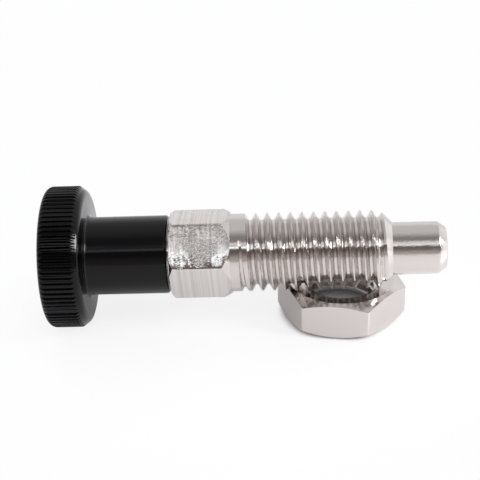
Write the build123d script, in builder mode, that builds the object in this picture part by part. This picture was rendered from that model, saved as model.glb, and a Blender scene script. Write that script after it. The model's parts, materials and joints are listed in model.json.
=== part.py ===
from build123d import *
from math import asin, atan, atan2, ceil, cos, degrees, hypot, pi, radians, sin, sqrt, tan
import os

# Indexing plunger with a plastic pull knob, lying on its loose lock nut.
# Lengths along the plunger are measured from the collar's front face, the seat,
# and are positive towards the locating pin. All sizes are in millimetres.

# ---- driving dimensions -------------------------------------------------------------

# screw thread of the body: M12, coarse, right-hand
THREAD_MAJOR = 11.85  # over the crests
THREAD_PITCH = 1.75
THREAD_DEPTH = 1.0
THREAD_CREST_FLAT = 0.22
THREAD_FLANK = 30.0  # degrees from the thread's cross-section
THREAD_START_TURN = 208.0  # where the full groove starts, degrees about the axis from the top
SHANK_LENGTH = 1.2  # plain length between the collar and the thread's run-out
BODY_FRONT = 24.2  # from the seat to the threaded end
THREAD_END_SLOPE = 45.0  # of the end chamfer, degrees from the axis
THREAD_END_LAND = 0.2  # width of the end face left round the bore

# hexagon collar
COLLAR_FLATS = 12.0
COLLAR_LENGTH = 9.1
COLLAR_TURN = -7.4  # rotation of its flats about the axis, degrees
COLLAR_FRONT_DIAMETER = 12.2  # left by the chamfer at the seat
COLLAR_FRONT_SLOPE = 30.0  # of the chamfer, degrees from the axis
COLLAR_REAR_DIAMETER = 12.6
COLLAR_REAR_SLOPE = 45.0

# spigot at the rear of the body, which the knob's neck slides over
SPIGOT_DIAMETER = 9.0
SPIGOT_LENGTH = 10.0
SPIGOT_CHAMFER = 0.4
SPRING_CHAMBER_LENGTH = 18.0  # from the pin's shoulder at rest to the rear wall

# locating pin and its rod
PIN_DIAMETER = 8.0
PIN_PROJECTION = 8.2
PIN_GUIDE_LENGTH = 14.0
PIN_CHAMFER_LENGTH = 1.3
PIN_CHAMFER_DEPTH = 0.95
PIN_CLEARANCE = 0.03  # radial, in the body's bore
ROD_DIAMETER = 5.0
ROD_END_CHAMFER = 0.4
ROD_CLEARANCE = 0.1  # radial, in the rear wall's hole

# return spring
SPRING_WIRE = 0.9
SPRING_MEAN_DIAMETER = 6.3
SPRING_TURNS = 6.5
SPRING_WIRE_SIDES = 6
SPRING_CHORDS = 12  # straight lengths in each turn

# knob
KNOB_DIAMETER = 21.6
KNOB_THICKNESS = 6.3
KNOB_RIM_WIDTH = 5.5
KNOB_BACK_RADIUS = 1.2
KNOB_BACK_STEPS = 3  # short cones that round the back edge
KNOB_FACE_DIAMETER = 18.8
KNOB_RIBS = 80
RIB_DEPTH = 0.38
RIB_LAND = 0.2  # width of a rib's top
NECK_DIAMETER = 11.9
NECK_LENGTH = 12.3
NECK_ROOT_BEVEL = 0.4
NECK_EDGE_BEVEL = 0.4
NECK_GAP = 0.4  # between the neck and the collar at rest
NECK_CLEARANCE = 0.25  # radial, over the spigot

# hexagonal threaded insert moulded into the knob
INSERT_FLATS = 7.0
INSERT_LENGTH = 7.0
INSERT_FLANGE_DIAMETER = 8.8
INSERT_FLANGE_THICKNESS = 1.0
INSERT_END_WALL = 0.6
ROD_END_GAP = 0.2  # between the rod's end and the insert's blind end
ROD_FIT = 0.02  # radial, in the insert

# lock nut
NUT_FLATS = 17.5
NUT_THICKNESS = 6.0
NUT_BORE = 10.2
NUT_COUNTERSINK = 13.2
NUT_COUNTERSINK_SLOPE = 30.0  # degrees from the nut's faces
NUT_FACE_DIAMETER = 16.4
NUT_CHAMFER_SLOPE = 30.0  # degrees from the nut's faces
NUT_TURN = -7.4  # rotation of its flats about the vertical, degrees
NUT_OFFSET = 2.6  # of its centre behind the plunger's axis
NUT_TOUCH = 8.8  # where the thread meets the nut, from the seat
REST_GAP = 0.02  # between the crests and the nut's face

# ---- places along the axis ----------------------------------------------------------

collar_rear = -COLLAR_LENGTH
spigot_rear = collar_rear - SPIGOT_LENGTH
neck_front = collar_rear - NECK_GAP
disc_face = neck_front - NECK_LENGTH
disc_back = disc_face - KNOB_THICKNESS
rim_front = disc_back + KNOB_RIM_WIDTH
insert_rear = spigot_rear - INSERT_LENGTH
rod_rear = insert_rear + INSERT_END_WALL + ROD_END_GAP
pin_shoulder = BODY_FRONT - PIN_GUIDE_LENGTH
pin_tip = BODY_FRONT + PIN_PROJECTION
chamber_rear = pin_shoulder - SPRING_CHAMBER_LENGTH

crest_radius = THREAD_MAJOR / 2
root_radius = crest_radius - THREAD_DEPTH
bore_radius = PIN_DIAMETER / 2 + PIN_CLEARANCE
rod_hole_radius = ROD_DIAMETER / 2 + ROD_CLEARANCE
knob_radius = KNOB_DIAMETER / 2
rib_root_radius = knob_radius - RIB_DEPTH
tip_radius = PIN_DIAMETER / 2 - PIN_CHAMFER_DEPTH

# ---- how the plunger lies -----------------------------------------------------------
# The knob's rounded back edge stands on the ground and the thread leans on the nut,
# so the axis climbs towards the pin. Both contacts give the same height of the axis.

back_edge = disc_back + KNOB_BACK_RADIUS
back_ring = knob_radius - KNOB_BACK_RADIUS
support_span = NUT_TOUCH - back_edge
support_drop = back_ring - crest_radius
support_rise = NUT_THICKNESS + REST_GAP - KNOB_BACK_RADIUS
lean = asin(support_rise / hypot(support_span, support_drop)) - atan2(support_drop, support_span)
seat_height = back_ring * cos(lean) + KNOB_BACK_RADIUS - back_edge * sin(lean)

# the origin is on the ground, in the middle of what the plunger and its nut take up
nut_corner = NUT_FLATS / 2 / cos(pi / 6)
nut_reach = nut_corner * sin(pi / 3 + abs(radians(NUT_TURN)))
reach_front = pin_tip * cos(lean) + tip_radius * sin(lean)
reach_rear = back_ring * sin(lean) + KNOB_BACK_RADIUS - back_edge * cos(lean)
axis_x = (reach_rear - reach_front) / 2
axis_y = (knob_radius - NUT_OFFSET - nut_reach) / 2

along = Vector(cos(lean), 0, sin(lean))
seat = Vector(axis_x, axis_y, seat_height)
centre_line = Axis(seat, along)
# X of the profile plane runs along the plunger, and Y is the radius
profile_plane = Plane(origin=seat, x_dir=along, z_dir=(0, -1, 0))
# Z of the section plane runs along the plunger
section_plane = Plane(origin=seat, x_dir=(0, -1, 0), z_dir=along)

nut_touch_x = axis_x + NUT_TOUCH * cos(lean) + crest_radius * sin(lean)
nut_x = nut_touch_x + sqrt((NUT_FACE_DIAMETER / 2) ** 2 - NUT_OFFSET**2)
nut_plane = Plane(origin=(nut_x, axis_y + NUT_OFFSET, 0))
nut_profile_plane = Plane(origin=nut_plane.origin, x_dir=(1, 0, 0), z_dir=(0, -1, 0))
nut_axis = Axis(nut_plane.origin, (0, 0, 1))


def lathe_profile(*points):
    """A closed profile of (place along the axis, radius) points, ready to revolve."""
    with BuildSketch(profile_plane, mode=Mode.PRIVATE) as profile:
        with BuildLine():
            Polyline(*points, close=True)
        make_face()
    return profile.sketch


def hexagon(plane, across_flats, turn=0.0):
    """A hexagon of that size across its flats, turned about its centre."""
    with BuildSketch(plane, mode=Mode.PRIVATE) as outline:
        RegularPolygon(across_flats / 2, 6, major_radius=False, rotation=turn)
    return outline.sketch


# ---- threaded body ------------------------------------------------------------------
# One stainless turning from hexagon bar: rear spigot, collar, plain shank and thread,
# bored from the front for pin and spring, with a smaller hole for the rod behind.

collar_corner = COLLAR_FLATS / 2 / cos(pi / 6)
collar_middle = -COLLAR_LENGTH / 2
end_radius = bore_radius + THREAD_END_LAND
end_chamfer = (crest_radius - end_radius) / tan(radians(THREAD_END_SLOPE))
front_chamfer = (collar_corner - COLLAR_FRONT_DIAMETER / 2) / tan(radians(COLLAR_FRONT_SLOPE))
rear_chamfer = (collar_corner - COLLAR_REAR_DIAMETER / 2) / tan(radians(COLLAR_REAR_SLOPE))
# the groove is a V with a flat bottom, cut a little past the crests
groove_overcut = 0.1
groove_height = THREAD_DEPTH + groove_overcut
flank_spread = tan(radians(THREAD_FLANK))
groove_floor = (THREAD_PITCH - THREAD_CREST_FLAT) / 2 - THREAD_DEPTH * flank_spread
groove_mouth = groove_floor + groove_height * flank_spread
# at its rear end the groove rises out of the bar within half a turn
run_out_length = THREAD_PITCH / 2
run_out_slope = atan(groove_height / run_out_length)
groove_start = SHANK_LENGTH + groove_floor + run_out_length
groove_turns = ceil((BODY_FRONT - groove_start) / THREAD_PITCH)


def groove_section(path, centre):
    """Cross-section of the groove, square to its path and pointing away from the centre."""
    start = path @ 0
    plane = Plane(origin=start, x_dir=start - centre, z_dir=path % 0)
    with BuildSketch(plane, mode=Mode.PRIVATE) as groove:
        with BuildLine():
            Polyline(
                (0, -groove_floor),
                (0, groove_floor),
                (groove_height, groove_mouth),
                (groove_height, -groove_mouth),
                close=True,
            )
        make_face()
    return groove.sketch


with BuildPart() as threaded_body:
    extrude(hexagon(section_plane.offset(collar_rear), COLLAR_FLATS, COLLAR_TURN), COLLAR_LENGTH)
    collar_envelope = lathe_profile(
        (collar_rear, 0),
        (collar_rear, COLLAR_REAR_DIAMETER / 2),
        (collar_rear + rear_chamfer, collar_corner),
        (-front_chamfer, collar_corner),
        (0, COLLAR_FRONT_DIAMETER / 2),
        (0, 0),
    )
    revolve(collar_envelope, axis=centre_line, mode=Mode.INTERSECT)
    bar = lathe_profile(
        (spigot_rear, 0),
        (spigot_rear, SPIGOT_DIAMETER / 2 - SPIGOT_CHAMFER),
        (spigot_rear + SPIGOT_CHAMFER, SPIGOT_DIAMETER / 2),
        (collar_middle, SPIGOT_DIAMETER / 2),
        (collar_middle, crest_radius),
        (BODY_FRONT - end_chamfer, crest_radius),
        (BODY_FRONT, end_radius),
        (BODY_FRONT, 0),
    )
    revolve(bar, axis=centre_line)
    bores = lathe_profile(
        (spigot_rear, 0),
        (spigot_rear, rod_hole_radius),
        (chamber_rear, rod_hole_radius),
        (chamber_rear, bore_radius),
        (BODY_FRONT, bore_radius),
        (BODY_FRONT, 0),
    )
    revolve(bores, axis=centre_line, mode=Mode.SUBTRACT)
    for turn in range(groove_turns):
        turn_centre = seat + along * (groove_start + turn * THREAD_PITCH)
        with BuildLine(mode=Mode.PRIVATE) as turn_path:
            one_turn = Helix(
                pitch=THREAD_PITCH,
                height=THREAD_PITCH,
                radius=root_radius,
                center=turn_centre,
                direction=along,
                mode=Mode.PRIVATE,
            )
            add(one_turn.rotate(centre_line, THREAD_START_TURN))
        turn_section = groove_section(turn_path.line, turn_centre)
        sweep(turn_section, turn_path.line, is_frenet=True, mode=Mode.SUBTRACT)
    run_out_centre = seat + along * groove_start
    with BuildLine(mode=Mode.PRIVATE) as run_out_path:
        run_out = Helix(
            pitch=THREAD_PITCH / cos(run_out_slope),
            height=run_out_length,
            radius=root_radius,
            center=run_out_centre,
            direction=along * -1,
            cone_angle=degrees(run_out_slope),
            mode=Mode.PRIVATE,
        )
        add(run_out.rotate(centre_line, THREAD_START_TURN + 180))
    run_out_section = groove_section(run_out_path.line, run_out_centre)
    sweep(run_out_section, run_out_path.line, is_frenet=True, mode=Mode.SUBTRACT)

# ---- plunger pin --------------------------------------------------------------------
# A ground stainless nose with a chamfered tip, and the rod that the knob screws onto.

with BuildPart() as plunger_pin:
    pin_profile = lathe_profile(
        (rod_rear, 0),
        (rod_rear, ROD_DIAMETER / 2 - ROD_END_CHAMFER),
        (rod_rear + ROD_END_CHAMFER, ROD_DIAMETER / 2),
        (pin_shoulder, ROD_DIAMETER / 2),
        (pin_shoulder, PIN_DIAMETER / 2),
        (pin_tip - PIN_CHAMFER_LENGTH, PIN_DIAMETER / 2),
        (pin_tip, tip_radius),
        (pin_tip, 0),
    )
    revolve(pin_profile, axis=centre_line)

# ---- return spring ------------------------------------------------------------------
# Wire coiled about the rod, between the rear wall and the pin's shoulder. It is hidden
# inside the body, so the wire has a few flat sides and each turn a few straight chords.

coil_plane = section_plane.offset(chamber_rear + SPRING_WIRE / 2)
coil_radius = SPRING_MEAN_DIAMETER / 2
coil_chords = round(SPRING_TURNS * SPRING_CHORDS)
chord_rise = (SPRING_CHAMBER_LENGTH - SPRING_WIRE) / coil_chords
coil_points = []
for chord in range(coil_chords + 1):
    chord_turn = 2 * pi * chord / SPRING_CHORDS
    chord_end = (coil_radius * cos(chord_turn), coil_radius * sin(chord_turn), chord_rise * chord)
    coil_points.append(coil_plane.from_local_coords(chord_end))

with BuildPart() as return_spring:
    with BuildLine() as coil:
        Polyline(*coil_points)
    with BuildSketch(Plane(origin=coil.line @ 0, x_dir=along, z_dir=coil.line % 0)):
        RegularPolygon(SPRING_WIRE / 2, SPRING_WIRE_SIDES)
    sweep(path=coil.line, transition=Transition.RIGHT)

# ---- knob insert --------------------------------------------------------------------
# Brass bush with a hexagonal shank that can't turn in the moulding. Its flange is the
# stop that meets the end of the spigot, and its blind hole takes the rod's screw end.

rod_socket_radius = ROD_DIAMETER / 2 + ROD_FIT
flange_rear = spigot_rear - INSERT_FLANGE_THICKNESS

with BuildPart() as knob_insert:
    shank_length = flange_rear - insert_rear
    extrude(hexagon(section_plane.offset(insert_rear), INSERT_FLATS), shank_length)
    with BuildSketch(section_plane.offset(flange_rear)):
        Circle(INSERT_FLANGE_DIAMETER / 2)
    extrude(amount=INSERT_FLANGE_THICKNESS)
    with BuildSketch(section_plane.offset(insert_rear + INSERT_END_WALL)):
        Circle(rod_socket_radius)
    extrude(amount=INSERT_LENGTH - INSERT_END_WALL, mode=Mode.SUBTRACT)

# ---- knob ---------------------------------------------------------------------------
# One black moulding: a disc with fine straight ribs round its rim, and a hollow neck.

rib_turn = 2 * pi / KNOB_RIBS
land_half_turn = RIB_LAND / 2 / knob_radius
rib_points = []
for rib in range(KNOB_RIBS):
    rib_middle = rib * rib_turn
    for radius, turn in (
        (knob_radius, rib_middle - land_half_turn),
        (knob_radius, rib_middle + land_half_turn),
        (rib_root_radius, rib_middle + rib_turn / 2),
    ):
        rib_points.append((radius * cos(turn), radius * sin(turn)))
# the ribs wrap over the rounded back edge, which is a few short cones
back_steps = []
for step in range(KNOB_BACK_STEPS + 1):
    step_angle = pi / 2 * step / KNOB_BACK_STEPS
    step_place = disc_back + KNOB_BACK_RADIUS * (1 - sin(step_angle))
    back_steps.append((step_place, back_ring + KNOB_BACK_RADIUS * cos(step_angle)))
rim_clearance = 1.0
neck_radius = NECK_DIAMETER / 2
neck_bore_radius = SPIGOT_DIAMETER / 2 + NECK_CLEARANCE

with BuildPart() as knob:
    with BuildSketch(section_plane.offset(disc_back)):
        with BuildLine():
            Polyline(*rib_points, close=True)
        make_face()
    extrude(amount=KNOB_RIM_WIDTH)
    rim_envelope = lathe_profile(
        (rim_front, 0),
        (rim_front, knob_radius + rim_clearance),
        (back_edge, knob_radius + rim_clearance),
        *back_steps,
        (disc_back, 0),
    )
    revolve(rim_envelope, axis=centre_line, mode=Mode.INTERSECT)
    front_profile = lathe_profile(
        (rim_front, 0),
        (rim_front, rib_root_radius),
        (disc_face, KNOB_FACE_DIAMETER / 2),
        (disc_face, neck_radius + NECK_ROOT_BEVEL),
        (disc_face + NECK_ROOT_BEVEL, neck_radius),
        (neck_front - NECK_EDGE_BEVEL, neck_radius),
        (neck_front, neck_radius - NECK_EDGE_BEVEL),
        (neck_front, 0),
    )
    revolve(front_profile, axis=centre_line)
    with BuildSketch(section_plane.offset(neck_front)):
        Circle(neck_bore_radius)
    extrude(amount=spigot_rear - neck_front, mode=Mode.SUBTRACT)
    with BuildSketch(section_plane.offset(flange_rear)):
        Circle(INSERT_FLANGE_DIAMETER / 2)
    extrude(amount=INSERT_FLANGE_THICKNESS, mode=Mode.SUBTRACT)
    extrude(
        hexagon(section_plane.offset(insert_rear), INSERT_FLATS),
        shank_length,
        mode=Mode.SUBTRACT,
    )

# ---- lock nut -----------------------------------------------------------------------
# A flat hexagon with turned chamfers on both faces and a countersunk bore.

nut_chamfer = (nut_corner - NUT_FACE_DIAMETER / 2) * tan(radians(NUT_CHAMFER_SLOPE))
countersink_depth = (NUT_COUNTERSINK - NUT_BORE) / 2 * tan(radians(NUT_COUNTERSINK_SLOPE))

with BuildPart() as lock_nut:
    extrude(hexagon(nut_plane, NUT_FLATS, NUT_TURN), NUT_THICKNESS)
    with BuildSketch(nut_profile_plane):
        with BuildLine():
            Polyline(
                (NUT_BORE / 2, countersink_depth),
                (NUT_COUNTERSINK / 2, 0),
                (NUT_FACE_DIAMETER / 2, 0),
                (nut_corner, nut_chamfer),
                (nut_corner, NUT_THICKNESS - nut_chamfer),
                (NUT_FACE_DIAMETER / 2, NUT_THICKNESS),
                (NUT_COUNTERSINK / 2, NUT_THICKNESS),
                (NUT_BORE / 2, NUT_THICKNESS - countersink_depth),
                close=True,
            )
        make_face()
    revolve(axis=nut_axis, mode=Mode.INTERSECT)

# ---- export -------------------------------------------------------------------------

os.makedirs("parts", exist_ok=True)
threaded_body.part.label = "threaded_body"
export_step(threaded_body.part, "parts/threaded_body.step")
plunger_pin.part.label = "plunger_pin"
export_step(plunger_pin.part, "parts/plunger_pin.step")
return_spring.part.label = "return_spring"
export_step(return_spring.part, "parts/return_spring.step")
knob_insert.part.label = "knob_insert"
export_step(knob_insert.part, "parts/knob_insert.step")
knob.part.label = "knob"
export_step(knob.part, "parts/knob.step")
lock_nut.part.label = "lock_nut"
export_step(lock_nut.part, "parts/lock_nut.step")
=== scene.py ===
import json
import math

import bmesh
import bpy
from mathutils import Matrix, Vector


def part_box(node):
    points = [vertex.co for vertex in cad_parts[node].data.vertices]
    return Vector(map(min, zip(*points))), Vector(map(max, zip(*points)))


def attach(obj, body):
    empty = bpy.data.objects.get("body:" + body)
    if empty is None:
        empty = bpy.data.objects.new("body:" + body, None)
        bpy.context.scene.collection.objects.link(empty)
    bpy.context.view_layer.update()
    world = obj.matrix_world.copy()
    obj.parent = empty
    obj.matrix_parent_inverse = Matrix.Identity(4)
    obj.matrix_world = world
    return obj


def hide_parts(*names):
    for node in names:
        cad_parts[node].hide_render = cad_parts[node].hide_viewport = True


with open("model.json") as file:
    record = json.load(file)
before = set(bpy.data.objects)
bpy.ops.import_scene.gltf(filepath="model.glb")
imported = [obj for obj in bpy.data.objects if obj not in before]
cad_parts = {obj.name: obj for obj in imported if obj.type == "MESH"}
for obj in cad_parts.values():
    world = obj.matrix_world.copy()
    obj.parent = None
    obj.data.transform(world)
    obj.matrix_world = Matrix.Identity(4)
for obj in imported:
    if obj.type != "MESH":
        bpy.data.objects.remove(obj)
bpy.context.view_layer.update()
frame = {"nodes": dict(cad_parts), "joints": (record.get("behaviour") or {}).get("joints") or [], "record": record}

# ---- threaded body ----
# One stainless turning from bright-drawn hexagon bar: a spigot behind for the knob's neck,
# the hexagon collar, a plain shank and an M12 x 1.75 thread, bored right through for the
# plunger. Sizes are in millimetres, and places along the axis count from the collar's front
# face towards the pin.

MM = 0.001
BODY_SEGMENTS = 120
THREAD_PITCH = 1.75
THREAD_DEPTH = 1.0
CREST_RADIUS = 5.925
CREST_FLAT = 0.22
FLANK_SPREAD = math.tan(math.radians(30))  # a 60 degree thread
GROOVE_FLOOR = (THREAD_PITCH - CREST_FLAT) / 2 - THREAD_DEPTH * FLANK_SPREAD
SHANK_LENGTH = 1.2
GROOVE_START = SHANK_LENGTH + GROOVE_FLOOR + THREAD_PITCH / 2
GROOVE_START_TURN = math.radians(208 - 90)  # from the front, turning downwards
RUN_OUT_RISE = THREAD_DEPTH + 0.1  # of the groove's floor, in the half turn before its start
BODY_FRONT = 24.2
BORE_RADIUS = 4.03
THREAD_END_SPREAD = -1.0  # the end chamfer, at 45 degrees
THREAD_END_RADIUS = BORE_RADIUS + 0.2
THREAD_ROOT_ROUND = 0.12
THREAD_CREST_ROUND = 0.05
COLLAR_LENGTH = 9.1
COLLAR_FLATS = 12.0
COLLAR_TURN = math.radians(-7.4)
COLLAR_FRONT_RADIUS = 6.1
COLLAR_FRONT_SPREAD = math.tan(math.radians(30))
COLLAR_REAR_RADIUS = 6.3
COLLAR_CROWN = 0.16
COLLAR_EDGE_ROUND = 0.12
SPIGOT_RADIUS = 4.5
SPIGOT_CHAMFER = 0.4
SPIGOT_FILLET = 0.3
SPIGOT_LENGTH = 10.0
SPIGOT_REAR = -COLLAR_LENGTH - SPIGOT_LENGTH
PIN_GUIDE_LENGTH = 14.0
SPRING_CHAMBER_LENGTH = 18.0
CHAMBER_REAR = BODY_FRONT - PIN_GUIDE_LENGTH - SPRING_CHAMBER_LENGTH
ROD_HOLE_RADIUS = 2.6

# the plunger's own frame: X towards its front side, Y downwards and Z along the axis
turning = next(joint for joint in frame["joints"] if joint["name"] == "knob_turn")
seat = Vector(turning["pos_m"])
along = Vector(turning["axis"]).normalized()
sideways = Vector((0, -1, 0))
plunger_place = Matrix((sideways, along.cross(sideways), along)).transposed().to_4x4()
plunger_place.translation = seat
plunger_place = plunger_place @ Matrix.Scale(MM, 4)


def turned(outline, segments, start_turn=0.0):
    """A mesh turned about Z from (place along the axis, radius) points, each its own row."""
    bm = bmesh.new()
    row = bm.verts.layers.int.new("row")
    verts = []
    for index, (place, radius) in enumerate(outline):
        spot = (radius * math.cos(start_turn), radius * math.sin(start_turn), place)
        vert = bm.verts.new(spot)
        vert[row] = index
        verts.append(vert)
    edges = [bm.edges.new(pair) for pair in zip(verts, verts[1:])]
    whole_turn = 2 * math.pi
    bmesh.ops.spin(
        bm, geom=verts + edges, axis=(0, 0, 1), angle=whole_turn, steps=segments, use_merge=True
    )
    return bm


def hexagon_radius(turn, across_flats, crown):
    """Distance from the centre to a hexagon's edge, at that angle from one corner.

    Its flats stand out at their middles by half the crown, and fall back by as much at
    the corners.
    """
    from_middle = turn % (math.pi / 3) - math.pi / 6
    rise = crown * (0.5 - (math.tan(from_middle) / math.tan(math.pi / 6)) ** 2)
    return (across_flats / 2 + rise) / math.cos(from_middle)


def set_radius(vert, place, radius):
    """Moves a vertex to that place along Z and that radius, at its own angle."""
    turn = math.atan2(vert.co.y, vert.co.x)
    vert.co = (radius * math.cos(turn), radius * math.sin(turn), place)


def edges_of_rows(bm, rows):
    """The edges that run round the axis in those rows."""
    row = bm.verts.layers.int["row"]
    return [
        edge
        for edge in bm.edges
        if edge.verts[0][row] == edge.verts[1][row] and edge.verts[0][row] in rows
    ]


def corner_edges(bm, lower_row, start_turn):
    """A hexagon's long edges, from that row to the next."""
    row = bm.verts.layers.int["row"]
    edges = []
    for edge in bm.edges:
        if {vert[row] for vert in edge.verts} == {lower_row, lower_row + 1}:
            turn = math.atan2(edge.verts[0].co.y, edge.verts[0].co.x) - start_turn
            past_corner = turn % (math.pi / 3)
            if min(past_corner, math.pi / 3 - past_corner) < 1e-3:
                edges.append(edge)
    return edges


def round_over(bm, edges, width, segments=2):
    """Rounds those edges off."""
    bmesh.ops.bevel(
        bm,
        geom=edges,
        offset=width,
        offset_type="OFFSET",
        affect="EDGES",
        segments=segments,
        profile=0.5,
        material=-1,
        clamp_overlap=True,
    )


def open_edges(bm, lowest, highest):
    """The edges of the mesh's open ends between those two places along Z."""
    return [
        edge
        for edge in bm.edges
        if edge.is_boundary and all(lowest < vert.co.z < highest for vert in edge.verts)
    ]


def cut_to_cone(bm, place, radius, spread, inside=False):
    """Trims what stands outside a cone, or inside it in a bore, back to the cone.

    The cone has that radius at that place and widens by spread for each unit along Z.
    A vertex slides down its own flank to the cone where the flank crosses it.
    """
    sign = -1 if inside else 1
    proud = {}
    for vert in bm.verts:
        cone = radius + (vert.co.z - place) * spread
        proud[vert] = sign * (vert.co.xy.length - cone)
    moves = []
    for vert, excess in proud.items():
        if excess <= 0:
            continue
        spot = None
        for edge in vert.link_edges:
            other = edge.other_vert(vert)
            across = abs(vert.co.xy.normalized().cross(other.co.xy.normalized()))
            if across < 1e-5 and proud[other] < 0:
                share = excess / (excess - proud[other])
                spot = vert.co.lerp(other.co, share)
        moves.append((vert, spot, vert.co.xy.length - sign * excess))
    for vert, spot, cone in moves:
        if spot is None:
            set_radius(vert, vert.co.z, cone)
        else:
            vert.co = spot


def helical_strip(pitch, rows, segments, first_turn, turns, start_turn, start_place):
    """One pitch of a thread's profile, swept round Z until the turns join up."""
    bm = bmesh.new()
    row = bm.verts.layers.int.new("row")
    verts = []
    for index in range(rows):
        place = start_place + first_turn * pitch
        turn = start_turn + first_turn * 2 * math.pi
        vert = bm.verts.new((math.cos(turn), math.sin(turn), place))
        vert[row] = index
        verts.append(vert)
    edges = [bm.edges.new(pair) for pair in zip(verts, verts[1:])]
    bmesh.ops.spin(
        bm,
        geom=verts + edges,
        axis=(0, 0, 1),
        dvec=(0, 0, pitch / segments),
        angle=2 * math.pi * turns,
        steps=turns * segments,
    )
    return bm


def body_groove(turns):
    """(places from the groove's middle, radii) of the groove that many turns from its start."""
    rise = max(0.0, -turns) * 2 * RUN_OUT_RISE
    depth = max(0.0, THREAD_DEPTH - rise)
    mouth = GROOVE_FLOOR + depth * FLANK_SPREAD
    root = CREST_RADIUS - depth
    left = ((-mouth, CREST_RADIUS), (-GROOVE_FLOOR, root))
    return left + ((GROOVE_FLOOR, root), (mouth, CREST_RADIUS))


def shape_thread(bm, groove, pitch, start_place):
    """Gives a helical strip the groove's section at each of its turns, and joins the turns."""
    row = bm.verts.layers.int["row"]
    for vert in bm.verts:
        turns = (vert.co.z - start_place) / pitch
        middle = vert.co.z
        corner = vert[row]
        if corner == 4:  # the next turn's first corner
            corner = 0
            turns += 1
            middle += pitch
        offset, radius = groove(turns)[corner]
        set_radius(vert, middle + offset, radius)
    bmesh.ops.remove_doubles(bm, verts=bm.verts, dist=1e-4)


def trim_ends(bm, lowest, highest):
    """Cuts the strip off square at both places."""
    for place, normal in ((lowest, (0, 0, -1)), (highest, (0, 0, 1))):
        bmesh.ops.bisect_plane(
            bm,
            geom=bm.verts[:] + bm.edges[:] + bm.faces[:],
            dist=1e-6,
            plane_co=(0, 0, place),
            plane_no=normal,
            clear_outer=True,
        )


def finished(bm, name, place, sharp):
    """The mesh as an object in its place, smooth up to that angle between its faces."""
    bmesh.ops.recalc_face_normals(bm, faces=bm.faces)
    bmesh.ops.transform(bm, matrix=place, verts=bm.verts)
    mesh = bpy.data.meshes.new(name)
    bm.to_mesh(mesh)
    bm.free()
    mesh.shade_smooth()
    mesh.set_sharp_from_angle(angle=math.radians(sharp))
    piece = bpy.data.objects.new(name, mesh)
    bpy.context.scene.collection.objects.link(piece)
    return piece


# the thread, from a plain stretch of the shank to the square front end
thread_rear = SHANK_LENGTH / 2
first_turn = math.floor((thread_rear - THREAD_PITCH - GROOVE_START) / THREAD_PITCH)
thread_turns = math.ceil((BODY_FRONT - GROOVE_START) / THREAD_PITCH) + 1 - first_turn
body = helical_strip(
    THREAD_PITCH, 5, BODY_SEGMENTS, first_turn, thread_turns, GROOVE_START_TURN, GROOVE_START
)
shape_thread(body, body_groove, THREAD_PITCH, GROOVE_START)
for rows, radius, width in (
    ((1, 2), CREST_RADIUS - THREAD_DEPTH, THREAD_ROOT_ROUND),
    ((0, 3), CREST_RADIUS, THREAD_CREST_ROUND),
):
    edges = [
        edge
        for edge in edges_of_rows(body, rows)
        if edge.verts[0].co.z > GROOVE_START + 0.1
        and all(abs(vert.co.xy.length - radius) < 1e-4 for vert in edge.verts)
    ]
    round_over(body, edges, width)
cut_to_cone(body, BODY_FRONT, THREAD_END_RADIUS, THREAD_END_SPREAD)
trim_ends(body, thread_rear, BODY_FRONT)

# the rest of the turning, from the front face through the bore and round to the seat
COLLAR_ROWS = (8, 9, 10, 11)
rest = turned(
    (
        (BODY_FRONT, BORE_RADIUS),
        (CHAMBER_REAR, BORE_RADIUS),
        (CHAMBER_REAR, ROD_HOLE_RADIUS),
        (SPIGOT_REAR, ROD_HOLE_RADIUS),
        (SPIGOT_REAR, SPIGOT_RADIUS - SPIGOT_CHAMFER),
        (SPIGOT_REAR + SPIGOT_CHAMFER, SPIGOT_RADIUS),
        (-COLLAR_LENGTH + SPIGOT_FILLET, SPIGOT_RADIUS),
        (-COLLAR_LENGTH, SPIGOT_RADIUS + SPIGOT_FILLET),
        (-COLLAR_LENGTH, COLLAR_REAR_RADIUS),
        (-COLLAR_LENGTH, COLLAR_REAR_RADIUS),
        (0, COLLAR_FRONT_RADIUS),
        (0, COLLAR_FRONT_RADIUS),
        (0, CREST_RADIUS),
    ),
    BODY_SEGMENTS,
    COLLAR_TURN,
)
MILLED_STEEL = 1  # the second and third of the body's materials; the first is turned
CHASED_STEEL = 2
row = rest.verts.layers.int["row"]
for face in rest.faces:
    if {vert[row] for vert in face.verts} == set(COLLAR_ROWS[1:3]):
        face.material_index = MILLED_STEEL
for vert in rest.verts:
    turn = math.atan2(vert.co.y, vert.co.x) - COLLAR_TURN
    flat = hexagon_radius(turn, COLLAR_FLATS, COLLAR_CROWN)
    if vert[row] == COLLAR_ROWS[1]:
        set_radius(vert, -COLLAR_LENGTH + max(0.0, flat - COLLAR_REAR_RADIUS), flat)
    if vert[row] == COLLAR_ROWS[2]:
        set_radius(vert, -max(0.0, flat - COLLAR_FRONT_RADIUS) / COLLAR_FRONT_SPREAD, flat)
round_over(rest, corner_edges(rest, COLLAR_ROWS[1], COLLAR_TURN), COLLAR_EDGE_ROUND)
mesh = bpy.data.meshes.new("rest")
rest.to_mesh(mesh)
rest.free()
body.from_mesh(mesh)
bpy.data.meshes.remove(mesh)
for lowest, highest in ((-0.1, SHANK_LENGTH), (BODY_FRONT - 0.1, BODY_FRONT + 0.1)):
    bmesh.ops.bridge_loops(body, edges=open_edges(body, lowest, highest))
bmesh.ops.remove_doubles(body, verts=body.verts, dist=1e-4)
bmesh.ops.recalc_face_normals(body, faces=body.faces)
for face in body.faces:
    place = face.calc_center_median()
    if SHANK_LENGTH < place.z < BODY_FRONT - 0.05 and abs(face.normal.z) > 0.8:
        face.material_index = CHASED_STEEL  # the thread's flanks
threaded_body = finished(body, "threaded_body_surface", plunger_place, 25)


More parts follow.
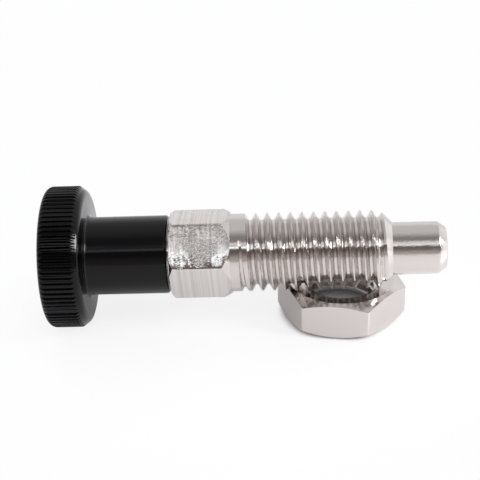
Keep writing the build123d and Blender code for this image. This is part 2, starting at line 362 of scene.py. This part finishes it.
def linear(code):
    """A colour's sRGB hex code as linear red, green, blue and alpha."""
    channels = [int(code[index : index + 2], 16) / 255 for index in (1, 3, 5)]
    return [c / 12.92 if c <= 0.04045 else ((c + 0.055) / 1.055) ** 2.4 for c in channels] + [1.0]


def add_node(tree, kind, inputs=None, **settings):
    """Adds a node with its settings, and sets or links its inputs."""
    node = tree.nodes.new(kind)
    for name, value in settings.items():
        setattr(node, name, value)
    for name, value in (inputs or {}).items():
        if isinstance(value, bpy.types.NodeSocket):
            tree.links.new(value, node.inputs[name])
        else:
            node.inputs[name].default_value = value
    return node


def new_material(name):
    """An empty material and the node tree to build it in."""
    material = bpy.data.materials.new(name)
    material.use_nodes = True
    material.node_tree.nodes.clear()
    return material, material.node_tree


def plunger_millimetres(tree):
    """Object coordinates in the plunger's frame: millimetres, with X along its axis."""
    coordinates = add_node(tree, "ShaderNodeTexCoord")
    lean = math.atan2(along.z, along.x)
    return add_node(
        tree,
        "ShaderNodeMapping",
        {
            "Vector": coordinates.outputs["Object"],
            "Location": seat,
            "Rotation": (0, -lean, 0),
            "Scale": (MM, MM, MM),
        },
        vector_type="TEXTURE",
    ).outputs["Vector"]


def stainless_steel(name, roughness, grain, rings, patchy=False):
    """Stainless steel, marked by the metal's grain and by the tool's rings round the axis.

    Both marks are (depth in fractions of 0.2 mm, how many to a millimetre). The real ones
    are a tenth as wide, and are drawn as coarse as they must be to be seen from a step away.
    """
    material, tree = new_material(name)
    place = plunger_millimetres(tree)
    grain_depth, grain_scale = grain
    ring_depth, ring_scale = rings
    colour = linear("#CEC8C5")
    if patchy:  # streaks of light and dark metal, and patches where the grain is deeper
        parts = add_node(tree, "ShaderNodeSeparateXYZ", {"Vector": place})
        streaks = add_node(
            tree,
            "ShaderNodeTexNoise",
            {"W": parts.outputs["X"], "Scale": 1.5, "Detail": 1.0},
            noise_dimensions="1D",
        )
        streak = add_node(
            tree,
            "ShaderNodeMapRange",
            {"Value": streaks.outputs["Fac"], "From Min": 0.35, "From Max": 0.6},
        )
        colour = add_node(
            tree,
            "ShaderNodeMix",
            {0: streak.outputs["Result"], 6: linear("#C6C0BC"), 7: linear("#D8D3D0")},
            data_type="RGBA",
        ).outputs[2]
        patches = add_node(
            tree, "ShaderNodeTexNoise", {"Vector": place, "Scale": 0.3, "Detail": 0.0}
        )
        grain_depth = add_node(
            tree,
            "ShaderNodeMapRange",
            {
                "Value": patches.outputs["Fac"],
                "From Min": 0.42,
                "From Max": 0.55,
                "To Min": 0.08,
                "To Max": grain_depth,
            },
            interpolation_type="SMOOTHSTEP",
        ).outputs["Result"]
    drawn_out = add_node(  # close along the axis, but slow to change round it
        tree,
        "ShaderNodeVectorMath",
        {0: place, 1: (ring_scale, 0.3, 0.3)},
        operation="MULTIPLY",
    )
    ring_marks = add_node(
        tree,
        "ShaderNodeTexNoise",
        {"Vector": drawn_out.outputs["Vector"], "Scale": 1.0, "Detail": 1.0, "Roughness": 0.5},
    )
    grain_marks = add_node(
        tree,
        "ShaderNodeTexNoise",
        {"Vector": place, "Scale": grain_scale, "Detail": 2.0, "Roughness": 0.6},
    )
    relief = add_node(
        tree,
        "ShaderNodeBump",
        {"Height": grain_marks.outputs["Fac"], "Strength": grain_depth, "Distance": 0.0002},
    )
    relief = add_node(
        tree,
        "ShaderNodeBump",
        {
            "Height": ring_marks.outputs["Fac"],
            "Strength": ring_depth,
            "Distance": 0.0002,
            "Normal": relief.outputs["Normal"],
        },
    )
    surface = add_node(
        tree,
        "ShaderNodeBsdfPrincipled",
        {
            "Base Color": colour,
            "Metallic": 1.0,
            "Roughness": roughness,
            "Normal": relief.outputs["Normal"],
        },
    )
    add_node(tree, "ShaderNodeOutputMaterial", {"Surface": surface.outputs["BSDF"]})
    return material


for steel in (
    # fine-turned: mirrors the tent sharply, with faint rings that fray its bright line
    stainless_steel("turned_stainless_steel", 0.07, (0.05, 5.0), (0.05, 9.0)),
    # milled flats: glitter in patches, and lighter and darker streaks across the collar
    stainless_steel("milled_stainless_steel", 0.10, (0.5, 3.0), (0.7, 1.6), patchy=True),
    # the thread's flanks: deep tool marks throw wedges of lamplight back out of the grooves
    stainless_steel("chased_stainless_steel", 0.11, (0.05, 5.0), (0.8, 9.0)),
):
    threaded_body.data.materials.append(steel)
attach(threaded_body, "body")
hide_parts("threaded_body")

# ---- locating pin ----
# A stainless plunger ground to 8 mm, with a chamfered nose that finds the hole, and a thin
# rod behind that runs through the spring to the knob.

PIN_RADIUS = 4.0
PIN_TIP = BODY_FRONT + 8.2
PIN_CHAMFER_LENGTH = 1.3
PIN_CHAMFER_DEPTH = 0.95
PIN_EDGE_ROUND = 0.22
PIN_SHOULDER = BODY_FRONT - PIN_GUIDE_LENGTH
ROD_RADIUS = 2.5
INSERT_REAR = SPIGOT_REAR - 7.0
ROD_REAR = INSERT_REAR + 0.8
ROD_CHAMFER = 0.4
pin = turned(
    (
        (ROD_REAR, 0),
        (ROD_REAR, ROD_RADIUS - ROD_CHAMFER),
        (ROD_REAR + ROD_CHAMFER, ROD_RADIUS),
        (PIN_SHOULDER, ROD_RADIUS),
        (PIN_SHOULDER, PIN_RADIUS),
        (PIN_TIP - PIN_CHAMFER_LENGTH, PIN_RADIUS),
        (PIN_TIP, PIN_RADIUS - PIN_CHAMFER_DEPTH),
        (PIN_TIP, 0),
    ),
    BODY_SEGMENTS,
)
bmesh.ops.remove_doubles(pin, verts=pin.verts, dist=1e-4)
CHAMFER_ROWS = (5, 6)
round_over(pin, edges_of_rows(pin, CHAMFER_ROWS), PIN_EDGE_ROUND, 4)
plunger_pin = finished(pin, "plunger_pin_surface", plunger_place, 30)
# ground: satin, with specks of the grain in the bright band along its middle
plunger_pin.data.materials.append(
    stainless_steel("ground_stainless_steel", 0.12, (0.14, 3.0), (0.04, 9.0))
)
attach(plunger_pin, "puller")
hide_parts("plunger_pin")

# ---- pull knob ----
# One moulding in black glass-filled nylon: a disc with fine ribs for the fingers and a
# hollow neck that slides over the body's spigot.

KNOB_RADIUS = 10.8
KNOB_BACK = -28.1
KNOB_BACK_RADIUS = 1.2
RIM_FRONT = KNOB_BACK + 5.5
DISC_FACE = -21.8
FACE_RADIUS = 9.4
NECK_RADIUS = 5.95
NECK_FRONT = -9.5
NECK_BORE_RADIUS = 4.75
FLANGE_REAR = SPIGOT_REAR - 1.0
FLANGE_RADIUS = 4.4  # of the brass insert, which the knob is moulded round
INSERT_RADIUS = 4.05
KNOB_RIBS = 80
FACE_EDGE_ROUND = 0.2
NECK_ROOT_ROUND = 0.6
NECK_EDGE_ROUND = 0.45
# half a rib's section: (distance round the rim from its middle, depth below its top)
RIB_SECTION = ((0.0, 0.0), (0.08, 0.02), (0.15, 0.12), (0.31, 0.37))
RIB_DEPTH = 0.38
BACK_ROWS = 7
rib_columns = 2 * len(RIB_SECTION)
RIM_BEVEL_START = RIM_FRONT - 0.5
RIM_BEVEL_END = (DISC_FACE - 0.2, 10.0)
rim_cone_spread = (KNOB_RADIUS - RIM_BEVEL_END[1]) / (RIM_BEVEL_END[0] - RIM_BEVEL_START)

outline = [(KNOB_BACK, 0)]
outline += [(KNOB_BACK, KNOB_RADIUS)] * BACK_ROWS
front_row = len(outline)
outline += [
    (RIM_FRONT, KNOB_RADIUS),
    RIM_BEVEL_END,
    (DISC_FACE, FACE_RADIUS),
    (DISC_FACE, NECK_RADIUS),
    (NECK_FRONT, NECK_RADIUS),
    (NECK_FRONT, NECK_BORE_RADIUS),
    (SPIGOT_REAR, NECK_BORE_RADIUS),
    (SPIGOT_REAR, FLANGE_RADIUS),
    (FLANGE_REAR, FLANGE_RADIUS),
    (FLANGE_REAR, INSERT_RADIUS),
    (INSERT_REAR, INSERT_RADIUS),
    (INSERT_REAR, 0),
]
knob_mesh = turned(outline, KNOB_RIBS * rib_columns)
row = knob_mesh.verts.layers.int["row"]
column_turn = 2 * math.pi / (KNOB_RIBS * rib_columns)
for vert in knob_mesh.verts:
    if not 1 <= vert[row] <= front_row:
        continue
    column = round(math.atan2(vert.co.y, vert.co.x) / column_turn)
    rib, step = divmod(column, rib_columns)
    side = 1
    if step > len(RIB_SECTION):
        step = rib_columns - step
        rib += 1
        side = -1
    if step == len(RIB_SECTION):
        offset, depth = math.pi * KNOB_RADIUS / KNOB_RIBS, RIB_DEPTH
    else:
        offset, depth = RIB_SECTION[step]
    turn = rib * 2 * math.pi / KNOB_RIBS + side * offset / KNOB_RADIUS
    radius = KNOB_RADIUS - depth
    place = RIM_BEVEL_START + depth / rim_cone_spread
    if vert[row] < front_row:
        meeting = math.acos(1 - depth / KNOB_BACK_RADIUS)
        bend = math.pi / 2 + (meeting - math.pi / 2) * (vert[row] - 1) / (BACK_ROWS - 1)
        place = KNOB_BACK + KNOB_BACK_RADIUS * (1 - math.sin(bend))
        radius = KNOB_RADIUS - KNOB_BACK_RADIUS * (1 - math.cos(bend))
    vert.co = (radius * math.cos(turn), radius * math.sin(turn), place)
bmesh.ops.remove_doubles(knob_mesh, verts=knob_mesh.verts, dist=1e-4)
for rows_on, width, segments in (
    (1, FACE_EDGE_ROUND, 4),
    (2, FACE_EDGE_ROUND, 4),
    (3, NECK_ROOT_ROUND, 5),
    (4, NECK_EDGE_ROUND, 5),
):
    round_over(knob_mesh, edges_of_rows(knob_mesh, (front_row + rows_on,)), width, segments)
knob = finished(knob_mesh, "knob_surface", plunger_place, 40)

# black all through, with a glossy moulded skin: thin highlights on the ribs and the bevel,
# and a disc face that mirrors the table where it is seen edge-on
moulded_nylon, tree = new_material("moulded_black_nylon")
place = plunger_millimetres(tree)
skin = add_node(
    tree, "ShaderNodeTexNoise", {"Vector": place, "Scale": 6.0, "Detail": 3.0, "Roughness": 0.6}
)
relief = add_node(
    tree, "ShaderNodeBump", {"Height": skin.outputs["Fac"], "Strength": 0.03, "Distance": 0.0002}
)
surface = add_node(
    tree,
    "ShaderNodeBsdfPrincipled",
    {
        "Base Color": linear("#030304"),
        "Roughness": 0.1,
        "IOR": 1.5,
        "Specular IOR Level": 0.22,
        "Normal": relief.outputs["Normal"],
    },
)
add_node(tree, "ShaderNodeOutputMaterial", {"Surface": surface.outputs["BSDF"]})
knob.data.materials.append(moulded_nylon)
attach(knob, "puller")
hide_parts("knob")

# ---- lock nut ----
# A stainless hexagon nut for the body's thread, taken off and laid flat: hot-formed, with
# turned chamfers on both faces, a countersunk bore and its own internal thread.

NUT_FLATS = 17.5
NUT_THICKNESS = 6.0
NUT_TURN = math.radians(-7.4)
NUT_FACE_RADIUS = 8.2
NUT_COUNTERSINK_RADIUS = 6.6
NUT_BORE_RADIUS = 5.1
NUT_THREAD_DEPTH = 0.95
NUT_SLOPE = math.tan(math.radians(30))
NUT_CROWN = 0.1
NUT_CORNER_ROUND = 0.3
nut_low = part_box("lock_nut")[0]
nut_bore = next(m for m in frame["record"]["mounts"] if m["name"] == "lock_nut_bore")
nut_centre = Vector((*nut_bore["pos_m"][:2], nut_low[2]))
nut_place = Matrix.Translation(nut_centre) @ Matrix.Scale(MM, 4)


def nut_groove(turns):
    """(places from the groove's middle, radii) of the nut's internal groove."""
    floor = THREAD_PITCH / 16
    mouth = floor + NUT_THREAD_DEPTH * FLANK_SPREAD
    root = NUT_BORE_RADIUS + NUT_THREAD_DEPTH
    return ((-mouth, NUT_BORE_RADIUS), (-floor, root), (floor, root), (mouth, NUT_BORE_RADIUS))


# from two turns below the nut's foot to beyond its top
nut = helical_strip(THREAD_PITCH, 5, BODY_SEGMENTS, -2, 7, 0.0, 0.0)
shape_thread(nut, nut_groove, THREAD_PITCH, 0.0)
cut_to_cone(nut, 0.0, NUT_COUNTERSINK_RADIUS, -1 / NUT_SLOPE, inside=True)
cut_to_cone(nut, NUT_THICKNESS, NUT_COUNTERSINK_RADIUS, 1 / NUT_SLOPE, inside=True)
trim_ends(nut, 0.1, NUT_THICKNESS - 0.1)  # short of the faces, where the outside joins on
outside = turned(
    (
        (0, NUT_COUNTERSINK_RADIUS),
        (0, NUT_FACE_RADIUS),
        (0, NUT_FACE_RADIUS),
        (NUT_THICKNESS, NUT_FACE_RADIUS),
        (NUT_THICKNESS, NUT_FACE_RADIUS),
        (NUT_THICKNESS, NUT_COUNTERSINK_RADIUS),
    ),
    BODY_SEGMENTS,
    NUT_TURN,
)
row = outside.verts.layers.int["row"]
for vert in outside.verts:
    turn = math.atan2(vert.co.y, vert.co.x) - NUT_TURN
    flat = hexagon_radius(turn, NUT_FLATS, NUT_CROWN)
    drop = (flat - NUT_FACE_RADIUS) * NUT_SLOPE
    if vert[row] == 2:
        set_radius(vert, drop, flat)
    if vert[row] == 3:
        set_radius(vert, NUT_THICKNESS - drop, flat)
for face in outside.faces:
    if {vert[row] for vert in face.verts} != {2, 3}:
        face.material_index = 1  # faced, not barrelled
round_over(outside, corner_edges(outside, 2, NUT_TURN), NUT_CORNER_ROUND, 4)
mesh = bpy.data.meshes.new("outside")
outside.to_mesh(mesh)
outside.free()
nut.from_mesh(mesh)
bpy.data.meshes.remove(mesh)
for lowest, highest in ((-0.1, 0.2), (NUT_THICKNESS - 0.2, NUT_THICKNESS + 0.1)):
    bmesh.ops.bridge_loops(nut, edges=open_edges(nut, lowest, highest))
lock_nut = finished(nut, "lock_nut_surface", nut_place, 25)
for steel in (
    # tumbled in a barrel after forming: soft, slightly cloudy flats
    stainless_steel("barrelled_stainless_steel", 0.12, (0.16, 5.0), (0.0, 9.0)),
    # faced in the lathe: a dark mirror of the thread above it
    stainless_steel("faced_stainless_steel", 0.08, (0.05, 5.0), (0.0, 9.0)),
):
    lock_nut.data.materials.append(steel)
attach(lock_nut, "body")
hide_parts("lock_nut")

# ---- return spring ----
# A compression spring of drawn stainless wire about the rod, held between the body's rear
# wall and the pin's shoulder. The solid coil is used as it is.

# drawn wire: duller than the turned steel, with the die's fine scratches
spring_wire, tree = new_material("drawn_spring_wire")
place = plunger_millimetres(tree)
scratches = add_node(tree, "ShaderNodeTexNoise", {"Vector": place, "Scale": 8.0, "Detail": 2.0})
relief = add_node(
    tree,
    "ShaderNodeBump",
    {"Height": scratches.outputs["Fac"], "Strength": 0.1, "Distance": 0.0001},
)
surface = add_node(
    tree,
    "ShaderNodeBsdfPrincipled",
    {
        "Base Color": linear("#B9B6B2"),
        "Metallic": 1.0,
        "Roughness": 0.3,
        "Normal": relief.outputs["Normal"],
    },
)
add_node(tree, "ShaderNodeOutputMaterial", {"Surface": surface.outputs["BSDF"]})
spring = frame["nodes"]["return_spring"].data
spring.materials.clear()
spring.materials.append(spring_wire)

# ---- knob insert ----
# A turned brass bush with a hexagon shank, moulded into the knob, with the rod screwed into
# it. Its flange stops against the spigot. The solid bush is used as it is.

# turned brass: warm yellow, with the tool's rings across it
turned_brass, tree = new_material("turned_brass")
place = plunger_millimetres(tree)
parts = add_node(tree, "ShaderNodeSeparateXYZ", {"Vector": place})
rings = add_node(
    tree, "ShaderNodeTexNoise", {"W": parts.outputs["X"], "Scale": 8.0}, noise_dimensions="1D"
)
relief = add_node(
    tree,
    "ShaderNodeBump",
    {"Height": rings.outputs["Fac"], "Strength": 0.15, "Distance": 0.0001},
)
surface = add_node(
    tree,
    "ShaderNodeBsdfPrincipled",
    {
        "Base Color": linear("#D9B36A"),
        "Metallic": 1.0,
        "Roughness": 0.28,
        "Normal": relief.outputs["Normal"],
    },
)
add_node(tree, "ShaderNodeOutputMaterial", {"Surface": surface.outputs["BSDF"]})
insert = frame["nodes"]["knob_insert"].data
insert.materials.clear()
insert.materials.append(turned_brass)

# ---- table and light ----
# A white table inside a light tent. The tent is open in front, where the dark room and one
# lit strip show in the metal, and a lamp stands low on the right.

TABLE_RADIUS = 1.5
table_bm = bmesh.new()
bmesh.ops.create_circle(table_bm, cap_ends=True, segments=96, radius=TABLE_RADIUS)
mesh = bpy.data.meshes.new("table")
table_bm.to_mesh(mesh)
table_bm.free()
table = bpy.data.objects.new("table", mesh)
bpy.context.scene.collection.objects.link(table)
# white lacquer, with a glow that only the camera sees, so that the table runs out to white
# but keeps its shadows: fainter close to the plunger, and none inside the nut's bore
white_table, tree = new_material("white_table")
surface = add_node(
    tree, "ShaderNodeBsdfPrincipled", {"Base Color": linear("#F6F6F8"), "Roughness": 0.35}
)
coordinates = add_node(tree, "ShaderNodeTexCoord")
path = add_node(tree, "ShaderNodeLightPath")
share = path.outputs["Is Camera Ray"]
# (centre, distances in metres that the glow grows between, its share before and after)
for centre, nearest, furthest, least, most in (
    ((0.0, 0.0, 0.0), 0.018, 0.045, 0.78, 0.985),
    (tuple(nut_centre), 0.0086, 0.0102, 0.02, 1.0),
):
    far = add_node(
        tree,
        "ShaderNodeVectorMath",
        {0: coordinates.outputs["Object"], 1: centre},
        operation="DISTANCE",
    )
    clear = add_node(
        tree,
        "ShaderNodeMapRange",
        {
            "Value": far.outputs["Value"],
            "From Min": nearest,
            "From Max": furthest,
            "To Min": least,
            "To Max": most,
        },
        interpolation_type="SMOOTHSTEP",
    )
    share = add_node(
        tree, "ShaderNodeMath", {0: share, 1: clear.outputs["Result"]}, operation="MULTIPLY"
    ).outputs["Value"]
glow = add_node(tree, "ShaderNodeEmission", {"Color": linear("#FEFEFF"), "Strength": 1.0})
mix = add_node(
    tree,
    "ShaderNodeMixShader",
    {0: share, 1: surface.outputs["BSDF"], 2: glow.outputs["Emission"]},
)
add_node(tree, "ShaderNodeOutputMaterial", {"Surface": mix.outputs["Shader"]})
table.data.materials.append(white_table)

world = bpy.data.worlds.new("light_tent")
bpy.context.scene.world = world
world.use_nodes = True
tree = world.node_tree
tree.nodes.clear()
direction = add_node(tree, "ShaderNodeTexCoord")
parts = add_node(tree, "ShaderNodeSeparateXYZ", {"Vector": direction.outputs["Generated"]})
front = add_node(tree, "ShaderNodeMath", {0: parts.outputs["Y"], 1: -1.0}, operation="MULTIPLY")
height = add_node(
    tree, "ShaderNodeMath", {0: parts.outputs["Z"], 1: front.outputs["Value"]}, operation="ARCTAN2"
)
round_tent = add_node(
    tree,
    "ShaderNodeMapRange",
    {"Value": height.outputs["Value"], "From Min": -math.pi, "From Max": math.pi},
)

# the tent's panels, each as (degrees up from the front and over, red, green, blue) stops;
# a ramp holds no more than 1, so each light is stored as a quarter
LIGHT_SCALE = 4.0
low_front = (
    (-180, 0.95, 0.95, 0.97),
    (-10, 0.80, 0.78, 0.78),
    (0, 0.62, 0.58, 0.57),
    (12, 0.48, 0.44, 0.43),
    (20, 0.28, 0.24, 0.22),
    (27, 0.18, 0.15, 0.14),
    (38, 0.18, 0.15, 0.14),
    (40, 1.9, 2.0, 2.1),
    (43, 1.9, 2.0, 2.1),
    (45, 0.45, 0.45, 0.46),
)
roof_and_back = (
    (75, 0.32, 0.31, 0.31),
    (88, 0.60, 0.60, 0.60),
    (98, 0.76, 0.76, 0.76),
    (140, 0.78, 0.78, 0.78),
    (150, 1.0, 1.0, 1.0),
    (180, 0.95, 0.95, 0.97),
)
behind_camera = ((48, 0.60, 0.60, 0.61), (52, 0.60, 0.60, 0.61), (57, 0.32, 0.31, 0.31))
beside_camera = ((48, 1.15, 1.15, 1.17), (54, 1.15, 1.15, 1.17), (59, 0.32, 0.31, 0.31))
right_side = (
    (-180, 1.3, 1.3, 1.3),
    (-5, 1.2, 1.2, 1.2),
    (5, 0.30, 0.26, 0.24),
    (38, 0.22, 0.18, 0.16),
    (46, 0.8, 0.8, 0.78),
    (90, 0.9, 0.9, 0.9),
    (110, 1.0, 1.0, 1.0),
    (150, 1.2, 1.2, 1.2),
    (180, 1.3, 1.3, 1.3),
)
panels = {}
for name, stops in (
    ("middle", low_front + behind_camera + roof_and_back),
    ("beside", low_front + beside_camera + roof_and_back),
    ("right", right_side),
):
    panel = add_node(tree, "ShaderNodeValToRGB", {"Fac": round_tent.outputs["Result"]})
    ramp = panel.color_ramp.elements
    while len(ramp) < len(stops):
        ramp.new(0.5)
    for place, (angle, *channels) in zip(ramp, stops):
        place.position = (angle + 180) / 360
        place.color = [channel / LIGHT_SCALE for channel in channels] + [1.0]
    panels[name] = panel.outputs["Color"]
light = panels["middle"]
aside = add_node(tree, "ShaderNodeMath", {0: parts.outputs["X"]}, operation="ABSOLUTE")
# (how far to that side, where the panel begins and is complete, its light)
for side, nearest, furthest, panel in (
    (aside.outputs["Value"], 0.055, 0.08, panels["beside"]),
    (parts.outputs["X"], -0.5, -0.75, (0.16, 0.155, 0.155, 1.0)),
    (parts.outputs["X"], 0.45, 0.7, panels["right"]),
    (parts.outputs["X"], 0.92, 0.97, (0.35, 0.35, 0.35, 1.0)),
):
    edge = add_node(
        tree,
        "ShaderNodeMapRange",
        {"Value": side, "From Min": nearest, "From Max": furthest, "To Max": 1.0},
        interpolation_type="SMOOTHSTEP",
    )
    light = add_node(
        tree, "ShaderNodeMix", {0: edge.outputs["Result"], 6: light, 7: panel}, data_type="RGBA"
    ).outputs[2]
tent = add_node(tree, "ShaderNodeBackground", {"Color": light, "Strength": LIGHT_SCALE})
path = add_node(tree, "ShaderNodeLightPath")
white = add_node(tree, "ShaderNodeBackground", {"Color": (1, 1, 1, 1), "Strength": 1.0})
seen = add_node(
    tree,
    "ShaderNodeMixShader",
    {0: path.outputs["Is Camera Ray"], 1: tent.outputs[0], 2: white.outputs[0]},
)
add_node(tree, "ShaderNodeOutputWorld", {"Surface": seen.outputs[0]})

# (name, size, power, place, whether it shows in the metal)
for name, size, power, place, shows in (
    ("key_softbox", 0.45, 1.25, (0.12, -0.38, 0.42), False),
    ("low_right_lamp", 0.10, 0.75, (0.293, -0.078, 0.175), True),
):
    softbox = bpy.data.lights.new(name, "AREA")
    softbox.shape = "SQUARE"
    softbox.size = size
    softbox.energy = power
    lamp = bpy.data.objects.new(name, softbox)
    lamp.location = place
    lamp.rotation_euler = (-lamp.location).to_track_quat("-Z", "Y").to_euler()
    lamp.visible_glossy = shows
    bpy.context.scene.collection.objects.link(lamp)

# ---- camera ----
# A long lens in front of the plunger, a little above it and to its right.

AIM = Vector((-0.00079, -0.00057, 0.0138))
TURN = math.radians(2.773)
RISE = math.radians(27.469)
ROLL = math.radians(-1.11)
DISTANCE = 0.2075
back = Vector((math.sin(TURN) * math.cos(RISE), -math.cos(TURN) * math.cos(RISE), math.sin(RISE)))
right = Vector((math.cos(TURN), math.sin(TURN), 0))
up = back.cross(right)
right, up = (
    right * math.cos(ROLL) + up * math.sin(ROLL),
    up * math.cos(ROLL) - right * math.sin(ROLL),
)
lens = bpy.data.cameras.new("camera")
lens.sensor_width = 36.0
lens.lens = 102.7
lens.clip_start = 0.01
camera = bpy.data.objects.new("camera", lens)
camera.matrix_world = Matrix((right, up, back)).transposed().to_4x4()
camera.location = AIM + back * DISTANCE
bpy.context.scene.collection.objects.link(camera)
bpy.context.scene.camera = camera
bpy.context.scene.view_settings.view_transform = "Standard"
